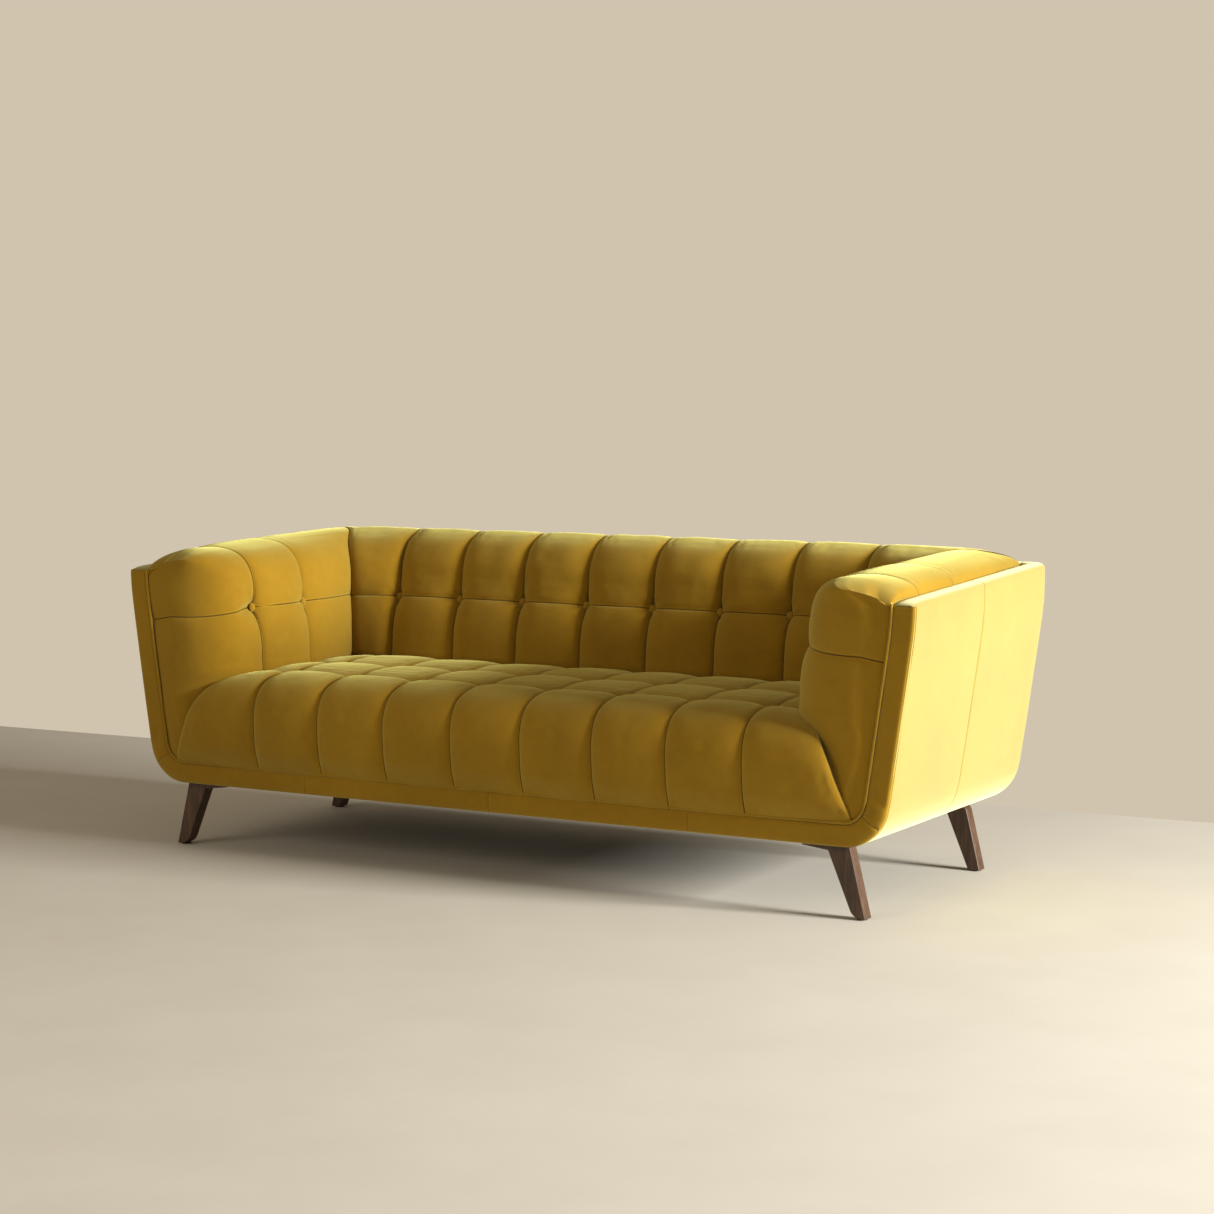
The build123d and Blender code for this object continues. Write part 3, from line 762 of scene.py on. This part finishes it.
def make_back_cover(material):
    middle = np.linspace(-1, 1, 90)[1:-1]
    across = np.concatenate([[-1, -0.9985, -0.996], middle, [0.996, 0.9985, 1]])
    top = float(shell_top(REAR_PANEL))
    grid = np.array([[back_cover_point(level, u, top) for level in shell_levels()] for u in across])
    grid[..., 1] += 0.7 * noise2(grid.shape[0], grid.shape[1], (18, 7), 31)
    obj = grid_object("outside_back_upholstery", grid, material, flip=out_facing(grid, (0, 1, 0)),
                      closed=lambda x, y, z: (x * 0.99, 405.0, min(max(z, 180.0), 715.0)))
    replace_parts(obj, "outside_back_cover")


# across the band from its outer edge (0) to its inner edge (1), and how far behind the front
BAND_PROFILE = [(-0.02, 13.0), (-0.01, 8.0), (0.0, 4.5), (0.03, 2.2), (0.09, 0.4), (0.2, -1.0),
                (0.36, -1.9), (0.52, -2.2), (0.68, -1.8), (0.82, -0.9), (0.92, 0.5), (0.97, 2.6),
                (1.0, 6.0), (1.01, 11.0)]
MITRE_ANGLE = math.radians(-36.0)  # where arm and rail bands meet on the bottom corner
BAND_EDGE_R = 7.0  # radius of the band's top end
BAND_SEAMS = (527.0, 0.0)  # x of the rail band's seams


def band_stations():
    """Right-hand half of the band, top to middle: (outer point, inner point, is past the mitre, mark).

    mark is the distance below the top on the arm's slant, and the groove of a seam elsewhere.
    """
    _, start, centre, radius, lean = outline(0.0)
    stations = []
    top = float(shell_top(FRONT + 3)) - 0.5
    step = 9
    for z in [top, top - 1, top - 2.5, top - 5, top - 9] + list(np.arange(top - 16, start[1] + 4, -step)):
        lift = 7.0 * (1 - smoothstep((z - 600) / 60.0))
        outer = (float(outline_x(z)), z)
        inner = (float(outline_x(z + lift, BAND)), z + lift)
        stations.append((outer, inner, False, top - z))
    close = np.array([0.0, 0.008, 0.018, 0.03])
    turn = np.concatenate([np.linspace(lean, MITRE_ANGLE + 0.05, 16),
                           MITRE_ANGLE + close[::-1]])
    past = np.concatenate([MITRE_ANGLE - close,
                           np.linspace(MITRE_ANGLE - 0.05, -math.pi / 2, 18)])
    for angles, beyond in ((turn, False), (past, True)):
        for a in angles:
            c, s = math.cos(a), math.sin(a)
            outer = (centre[0] + radius * c, centre[1] + radius * s)
            inner = (centre[0] + (radius - BAND) * c, centre[1] + (radius - BAND) * s)
            stations.append((outer, inner, beyond, groove((a - MITRE_ANGLE) * 80, 1.0, 2.2)))
    xs = list(np.arange(centre[0] - step, 0, -step))
    for seam in BAND_SEAMS:
        xs = [x for x in xs if abs(x - seam) > 9] + [seam + d for d in (-8, -5, -3, -1.5, 0, 1.5, 3, 5, 8)]
    for x in sorted((x for x in xs if x >= 0), reverse=True):
        sink = max(groove(x - seam, 1.0, 2.0) for seam in BAND_SEAMS)
        stations.append(((x, BASE), (x, BASE + BAND), True, sink))
    return stations


def band_row(station, side, top_part):
    outer, inner, _, mark = station
    row = []
    for across, back in BAND_PROFILE:
        x = outer[0] + (inner[0] - outer[0]) * across
        z = outer[1] + (inner[1] - outer[1]) * across
        y = FRONT + back
        if top_part:
            over = max(0.0, BAND_EDGE_R - mark)
            y = max(y, FRONT + BAND_EDGE_R - math.sqrt(max(BAND_EDGE_R ** 2 - over * over, 0.0)) + 1.0)
        else:
            y += 2.3 * mark
        row.append((side * x, y, z))
    return row


def make_band(name, node, rows, material):
    grid = np.array(rows)
    obj = grid_object(name, grid, material, flip=out_facing(grid, (0, -1, 0)),
                      closed=lambda x, y, z: (x, WRAP_FRONT, z))
    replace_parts(obj, node)


def make_bands(material):
    stations = band_stations()
    arm = [s for s in stations if not s[2]]
    rail = [s for s in stations if s[2]]
    slant_foot = outline(0.0)[1][1] + 1
    for side, word in ((-1, "left"), (1, "right")):
        rows = [band_row(s, side, s[0][1] > slant_foot) for s in arm]
        make_band(word + "_arm_front_band_velvet", word + "_arm_front_band", rows, material)
    rows = [band_row(s, -1, False) for s in rail] + [band_row(s, 1, False) for s in reversed(rail[:-1])]
    make_band("front_rail_band_velvet", "front_rail_band", rows, material)


def ring_faces(rows, sides):
    """Faces between successive rings of points."""
    faces = []
    for i in range(rows - 1):
        for k in range(sides):
            n = (k + 1) % sides
            faces.append((i * sides + k, i * sides + n, (i + 1) * sides + n, (i + 1) * sides + k))
    return faces


def tube(name, path, radius, material, sides=12):
    """Round cord along a path of points in mm."""
    path = np.asarray(path, float)
    tangent = np.gradient(path, axis=0)
    tangent /= np.linalg.norm(tangent, axis=1, keepdims=True)
    points = []
    for p, t in zip(path, tangent):
        a = np.cross(t, (0, 1, 0))
        a /= np.linalg.norm(a)
        b = np.cross(t, a)
        for k in range(sides):
            w = 2 * math.pi * k / sides
            points.append((p + radius * (math.cos(w) * a + math.sin(w) * b)).tolist())
    faces = ring_faces(len(path), sides)
    faces.append(tuple(reversed(range(sides))))
    faces.append(tuple((len(path) - 1) * sides + k for k in range(sides)))
    return mesh_object(name, points, faces, material)


def make_welt(material):
    _, start, centre, radius, lean = outline(WELT)
    y = FRONT + 1.5
    half = [(float(outline_x(z, WELT)), z) for z in np.arange(690, start[1] + 3, -8)]
    for a in np.linspace(lean, -math.pi / 2, 18):
        half.append((centre[0] + radius * math.cos(a), centre[1] + radius * math.sin(a)))
    half += [(x, BASE + WELT) for x in np.arange(centre[0] - 12, 1, -12)]
    path = [(x, y, z) for x, z in half] + [(-x, y, z) for x, z in reversed(half)]
    path = [(path[0][0] - 3, y + 8, path[0][2] + 4)] + path + [(path[-1][0] + 3, y + 8, path[-1][2] + 4)]
    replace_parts(tube("front_welt_velvet", path, WELT_R, material), "front_welt_cord")


# ---------------------------------------------------------------- buttons and dust cover
def lathe(name, profile, centre, direction, material, sides=28):
    """Turned shape: profile of (radius, height) along direction from centre."""
    direction = np.asarray(direction, float) / np.linalg.norm(direction)
    a = np.cross(direction, (0.0, 0.0, 1.0))
    a /= np.linalg.norm(a)
    b = np.cross(direction, a)
    points = []
    for r, h in profile:
        for k in range(sides):
            w = 2 * math.pi * k / sides
            radial = math.cos(w) * a + math.sin(w) * b
            points.append((np.asarray(centre) + r * radial + h * direction).tolist())
    faces = ring_faces(len(profile), sides)
    points.append((np.asarray(centre) + profile[0][1] * direction).tolist())
    hub = len(points) - 1
    faces += [(hub, (k + 1) % sides, k) for k in range(sides)]
    base = (len(profile) - 1) * sides
    faces.append(tuple(base + k for k in range(sides)))
    return mesh_object(name, points, faces, material)


BUTTON_PROFILE = [(2.0, 6.6), (4.5, 6.1), (6.8, 5.0), (8.8, 3.3), (10.1, 1.3), (10.5, -0.6), (10.1, -2.4),
                  (8.6, -4.0), (6.0, -5.0)]


def joined(objects, name):
    bpy.ops.object.select_all(action="DESELECT")
    for o in objects:
        o.select_set(True)
    bpy.context.view_layer.objects.active = objects[0]
    bpy.ops.object.join()
    objects[0].name = name
    return objects[0]


def make_buttons(material):
    backs = [lathe("b", BUTTON_PROFILE, (x, 221.0, 595.0), (0, -1, 0.10), material) for x in SEAM_X]
    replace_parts(joined(backs, "back_velvet_buttons"), "back_buttons")
    arms = []
    for side in (-1, 1):
        for x, y in ((791.0, ROW_1), (776.0, ROW_2)):
            centre = (side * x, y, ARM_BUTTON_Z)
            arms.append(lathe("a", BUTTON_PROFILE, centre, (-side, 0, 0.05), material))
    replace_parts(joined(arms, "arm_velvet_buttons"), "arm_buttons")


LEG_X = (793, 909)  # the cut-outs round the legs run between these, on both sides
LEG_Y = (-350.9, 304.8)
LEG_HALF = 18


def make_dust_cover(material):
    """Black cloth stapled under the frame, cut away round the legs and slightly uneven."""
    inner, outer = LEG_X
    xs = np.unique(np.concatenate([np.linspace(-908, 908, 150), [-outer, -inner, inner, outer]]))
    edges = [y + s for y in LEG_Y for s in (-LEG_HALF, LEG_HALF)]
    ys = np.unique(np.concatenate([np.linspace(-380, 366, 66), edges]))
    sag = 0.275 * noise2(len(xs), len(ys), (12, 7), 41)
    points = [(x, y, BASE + 0.7 + sag[i, j]) for i, x in enumerate(xs) for j, y in enumerate(ys)]
    faces = []
    for i in range(len(xs) - 1):
        for j in range(len(ys) - 1):
            mx, my = (xs[i] + xs[i + 1]) / 2, (ys[j] + ys[j + 1]) / 2
            if inner - 1 < abs(mx) < outer + 1 and any(abs(my - y) < LEG_HALF for y in LEG_Y):
                continue
            a = i * len(ys) + j
            faces.append((a, a + 1, a + len(ys) + 1, a + len(ys)))
    obj = mesh_object("dust_cover_cloth", points, faces, material)
    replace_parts(obj, "dust_cover")


# ---------------------------------------------------------------- materials
class Nodes:
    """Small helper to make and wire a material."""

    def __init__(self, name):
        self.material = bpy.data.materials.new(name)
        self.material.use_nodes = True
        self.tree = self.material.node_tree
        self.tree.nodes.clear()
        self.out = self.add("ShaderNodeOutputMaterial")
        self.bsdf = self.add("ShaderNodeBsdfPrincipled")
        self.link(self.bsdf, "BSDF", self.out, "Surface")
        self.coord = self.add("ShaderNodeTexCoord")

    def add(self, kind, **values):
        node = self.tree.nodes.new(kind)
        for key, value in values.items():
            setattr(node, key, value)
        return node

    def link(self, a, out, b, into):
        self.tree.links.new(a.outputs[out], b.inputs[into])

    def put(self, name, value):
        self.bsdf.inputs[name].default_value = value

    def mapping(self, scale=(1, 1, 1)):
        node = self.add("ShaderNodeMapping")
        node.inputs["Scale"].default_value = scale
        self.link(self.coord, "Object", node, "Vector")
        return node

    def noise(self, vector, scale, detail=3.0, rough=0.5, distortion=0.0):
        node = self.add("ShaderNodeTexNoise")
        node.inputs["Scale"].default_value = scale
        node.inputs["Detail"].default_value = detail
        node.inputs["Roughness"].default_value = rough
        node.inputs["Distortion"].default_value = distortion
        self.link(vector, "Vector", node, "Vector")
        return node

    def ramp(self, source, out, stops):
        node = self.add("ShaderNodeValToRGB")
        elements = node.color_ramp.elements
        while len(elements) < len(stops):
            elements.new(0.5)
        for element, (place, colour) in zip(elements, stops):
            element.position = place
            element.color = (*colour, 1.0)
        self.link(source, out, node, "Fac")
        return node

    def multiply(self, base, out, ramp, factor):
        """Multiply a colour by a ramp's colour."""
        node = self.add("ShaderNodeMix", data_type="RGBA", blend_type="MULTIPLY")
        node.inputs[0].default_value = factor
        self.tree.links.new(base.outputs[out], node.inputs[6])
        self.tree.links.new(ramp.outputs["Color"], node.inputs[7])
        return node

    def base_colour(self, mix):
        self.tree.links.new(mix.outputs[2], self.bsdf.inputs["Base Color"])

    def roughness(self, source, low, high):
        """Let the roughness vary between low and high with a noise."""
        node = self.add("ShaderNodeMapRange")
        node.inputs["To Min"].default_value = low
        node.inputs["To Max"].default_value = high
        self.link(source, "Fac", node, "Value")
        self.link(node, "Result", self.bsdf, "Roughness")

    def bump(self, source, out, strength, distance, chain=None):
        node = self.add("ShaderNodeBump")
        node.inputs["Strength"].default_value = strength
        node.inputs["Distance"].default_value = distance
        self.link(source, out, node, "Height")
        if chain is not None:
            self.link(chain, "Normal", node, "Normal")
        return node


def velvet(name, tones, sheen, spread, tint):
    """Short-pile velvet: tones of its nap, and the weight, spread and tint of its sheen."""
    n = Nodes(name)
    plain = n.mapping()
    nap = n.noise(plain, 4.0, 3.0, 0.5, 0.4)
    fine = n.noise(plain, 42.0, 3.0, 0.6)
    pile = n.noise(plain, 1500.0, 2.0, 0.7)
    tone = n.ramp(nap, "Fac", list(zip((0.30, 0.52, 0.74), tones)))
    speck = n.ramp(fine, "Fac", [(0.30, (0.88, 0.87, 0.84)), (0.70, (1.0, 1.0, 1.0))])
    seam = n.add("ShaderNodeAttribute", attribute_name="seam")
    # The seam value paints shade: dark on the seams and button rims, partly the pressed pile's darker tone
    # but mostly painted crease shade, with a painted highlight in a thin pale rim just beside them.
    press = n.ramp(seam, "Fac", [(0.0, (1.0, 1.0, 1.0)), (0.50, (1.0, 1.0, 1.0)),
                                 (0.68, (1.22, 1.24, 1.35)), (0.80, (0.90, 0.88, 0.86)),
                                 (0.91, (0.34, 0.30, 0.28)), (1.0, (0.12, 0.10, 0.08))])
    mottled = n.multiply(tone, "Color", speck, 0.7)
    n.base_colour(n.multiply(mottled, 2, press, 1.0))
    n.put("Roughness", 0.80)
    n.put("Specular IOR Level", 0.12)
    n.put("Sheen Weight", sheen)
    n.put("Sheen Roughness", spread)
    n.put("Sheen Tint", (*tint, 1.0))
    wide = n.bump(nap, "Fac", 0.05, 0.002)
    small = n.bump(fine, "Fac", 0.14, 0.0010, wide)
    tiny = n.bump(pile, "Fac", 0.25, 0.0003, small)
    n.link(tiny, "Normal", n.bsdf, "Normal")
    return n.material


def wood(name, dark, mid, light, rough, grain=(1.0, 1.0, 0.12)):
    """Planed wood: grain is small along the axis the fibres follow."""
    n = Nodes(name)
    along = n.mapping((60 * grain[0], 60 * grain[1], 60 * grain[2]))
    rings = n.noise(along, 1.0, 6.0, 0.6, 1.4)
    pores = n.noise(n.mapping((520, 520, 26)), 1.0, 2.0, 0.6)
    cloud = n.noise(n.mapping(), 7.0, 3.0, 0.5)
    tone = n.ramp(rings, "Fac", [(0.28, dark), (0.50, mid), (0.72, light)])
    dim = n.ramp(pores, "Fac", [(0.36, (0.55, 0.52, 0.50)), (0.52, (1, 1, 1))])
    n.base_colour(n.multiply(tone, "Color", dim, 0.7))
    n.roughness(cloud, rough - 0.08, rough + 0.12)
    coarse = n.bump(rings, "Fac", 0.12, 0.0006)
    fine = n.bump(pores, "Fac", 0.25, 0.0003, coarse)
    n.link(fine, "Normal", n.bsdf, "Normal")
    return n.material


def speckled(name, low, high, rough, scale, strength, distance, metallic=0.0):
    """Varied material for hidden pieces and the floor: two tones, changing roughness and fine bump."""
    n = Nodes(name)
    place = n.mapping()
    broad = n.noise(place, scale * 0.08, 4.0, 0.6)
    fine = n.noise(place, scale, 3.0, 0.65)
    tone = n.ramp(broad, "Fac", [(0.3, low), (0.7, high)])
    n.link(tone, "Color", n.bsdf, "Base Color")
    n.roughness(fine, max(rough - 0.1, 0.05), min(rough + 0.1, 1.0))
    n.put("Metallic", metallic)
    n.link(n.bump(fine, "Fac", strength, distance), "Normal", n.bsdf, "Normal")
    return n.material


def woven(name, low, high, threads):
    """Cloth with crossing threads."""
    n = Nodes(name)
    waves = []
    for direction in ("X", "Y"):
        node = n.add("ShaderNodeTexWave", wave_type="BANDS", bands_direction=direction)
        node.inputs["Scale"].default_value = threads
        node.inputs["Distortion"].default_value = 0.6
        node.inputs["Detail"].default_value = 1.0
        n.link(n.coord, "Object", node, "Vector")
        waves.append(node)
    both = n.add("ShaderNodeMath", operation="MULTIPLY")
    n.tree.links.new(waves[0].outputs["Fac"], both.inputs[0])
    n.tree.links.new(waves[1].outputs["Fac"], both.inputs[1])
    tone = n.ramp(both, "Value", [(0.0, low), (1.0, high)])
    n.link(tone, "Color", n.bsdf, "Base Color")
    n.put("Roughness", 0.9)
    n.link(n.bump(both, "Value", 0.4, 0.0004), "Normal", n.bsdf, "Normal")
    return n.material


def dress_cad(materials):
    """Give every CAD node the material of its slot in the record."""
    slots = {row["node"]: row["material_slot"] for row in frame["record"]["subparts"]}
    for name, obj in frame["nodes"].items():
        for index in range(len(obj.material_slots)):
            obj.material_slots[index].material = materials[slots[name]]


VELVET = velvet("velvet_mustard", ((0.232, 0.124, 0.0035), (0.258, 0.140, 0.0042),
                                    (0.284, 0.157, 0.0055)), 0.58, 0.50, (0.97, 0.97, 0.34))
# painted light: a lit copy of the mustard velvet, paler and greener with more sheen, standing in for the
# strong light on the right outer side; used on the outer side and back panels
LIT_COPY_VELVET = velvet("velvet_mustard_lit_copy", ((0.178, 0.131, 0.0064), (0.198, 0.147, 0.0078),
                                               (0.218, 0.163, 0.0096)),
                      0.74, 0.64, (0.97, 0.95, 0.56))
WALNUT = wood("walnut_dark", (0.030, 0.014, 0.007), (0.062, 0.030, 0.015), (0.115, 0.058, 0.030), 0.42)
BEECH = wood("beech_planed", (0.42, 0.27, 0.15), (0.54, 0.37, 0.22), (0.62, 0.45, 0.29), 0.6, (0.12, 1, 1))
PLY = wood("plywood_raw", (0.46, 0.32, 0.18), (0.58, 0.43, 0.27), (0.66, 0.51, 0.34), 0.65, (1, 0.12, 1))
FOAM = speckled("foam_cream", (0.78, 0.72, 0.52), (0.88, 0.83, 0.66), 0.95, 900, 0.5, 0.001)
FELT = speckled("felt_grey", (0.24, 0.23, 0.22), (0.42, 0.41, 0.39), 0.98, 500, 0.6, 0.001)
STEEL = speckled("spring_steel_oiled", (0.20, 0.20, 0.21), (0.34, 0.34, 0.35), 0.35, 300, 0.1, 0.0002, 1.0)
ZINC = speckled("zinc_plate", (0.55, 0.55, 0.57), (0.70, 0.70, 0.72), 0.32, 200, 0.1, 0.0002, 1.0)
TWINE = speckled("waxed_twine", (0.55, 0.50, 0.38), (0.74, 0.69, 0.55), 0.7, 1400, 0.5, 0.0003)
WEBBING = woven("elastic_webbing", (0.03, 0.03, 0.03), (0.12, 0.12, 0.12), 400)
CLOTH = woven("dust_cloth_black", (0.012, 0.012, 0.012), (0.045, 0.045, 0.045), 260)
GLIDE = speckled("glide_plastic_dark", (0.03, 0.026, 0.022), (0.055, 0.048, 0.042), 0.5, 600, 0.2, 0.0002)

dress_cad({"walnut": WALNUT, "beech_frame": BEECH, "plywood": PLY, "foam": FOAM, "felt": FELT,
           "spring_steel": STEEL, "zinc_steel": ZINC, "twine": TWINE, "webbing": WEBBING,
           "glide_plastic": GLIDE, "dust_cloth": CLOTH, "velvet": VELVET})

make_back(VELVET)
for arm_side in (-1, 1):
    make_arm(arm_side, VELVET)
    make_side_cover(arm_side, LIT_COPY_VELVET)
make_seat(VELVET)
make_back_cover(LIT_COPY_VELVET)
make_bands(VELVET)
make_welt(VELVET)
make_buttons(VELVET)
make_dust_cover(CLOTH)


# ---------------------------------------------------------------- stage, light and camera
def make_stage():
    """Pale floor that ends on a straight line behind the sofa, where the pale background begins."""
    corners = [(-16000, -16000, 0), (16000, -16000, 0), (16000, 1809, 0), (-16000, 568, 0)]
    pale = speckled("floor_pale", (0.52, 0.493, 0.445), (0.55, 0.525, 0.477), 0.8, 40, 0.05, 0.0005)
    mesh_object("studio_floor", corners, [(0, 1, 2, 3)], pale)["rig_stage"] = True
    world = bpy.data.worlds.new("studio_world")
    bpy.context.scene.world = world
    world.use_nodes = True
    tree = world.node_tree
    ambient = tree.nodes["Background"]
    ambient.inputs["Color"].default_value = (1.0, 0.83, 0.60, 1.0)
    ambient.inputs["Strength"].default_value = 0.31
    backdrop = tree.nodes.new("ShaderNodeBackground")
    backdrop.inputs["Color"].default_value = (0.637, 0.552, 0.428, 1.0)
    backdrop.inputs["Strength"].default_value = 1.0
    path = tree.nodes.new("ShaderNodeLightPath")
    mix = tree.nodes.new("ShaderNodeMixShader")
    tree.links.new(path.outputs["Is Camera Ray"], mix.inputs[0])
    tree.links.new(ambient.outputs[0], mix.inputs[1])
    tree.links.new(backdrop.outputs[0], mix.inputs[2])
    tree.links.new(mix.outputs[0], tree.nodes["World Output"].inputs["Surface"])


def area_light(name, place, target, size, power, colour):
    light = bpy.data.lights.new(name, "AREA")
    light.shape = "RECTANGLE"
    light.size, light.size_y = size
    light.energy = power
    light.color = colour
    obj = collect(bpy.data.objects.new(name, light))
    obj.location = place
    obj.rotation_euler = (Vector(target) - Vector(place)).to_track_quat("-Z", "Y").to_euler()


def make_lights():
    area_light("key", (7.0, 0.07, 1.95), (0, 0, 0.45), (1.75, 1.35), 1330, (1.0, 0.98, 0.91))
    area_light("fill", (-2.5, -6.5, 3.4), (0, 0, 0.4), (4.0, 3.0), 125, (1.0, 0.88, 0.70))


def make_camera():
    data = bpy.data.cameras.new("camera")
    data.sensor_fit = "HORIZONTAL"
    data.sensor_width = 36.0
    data.lens = 77.73
    data.clip_end = 100.0
    cam = collect(bpy.data.objects.new("camera", data))
    azimuth, pitch = math.radians(29.97), math.radians(5.07)
    cam.location = (3.2545, -5.4872, 1.1790)
    cam.rotation_euler = (math.pi / 2 - pitch, 0.0, azimuth)
    bpy.context.scene.camera = cam


make_stage()
make_lights()
make_camera()
bpy.context.scene.view_settings.view_transform = "Standard"

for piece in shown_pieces():
    if "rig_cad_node" not in piece:
        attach(piece, "root")
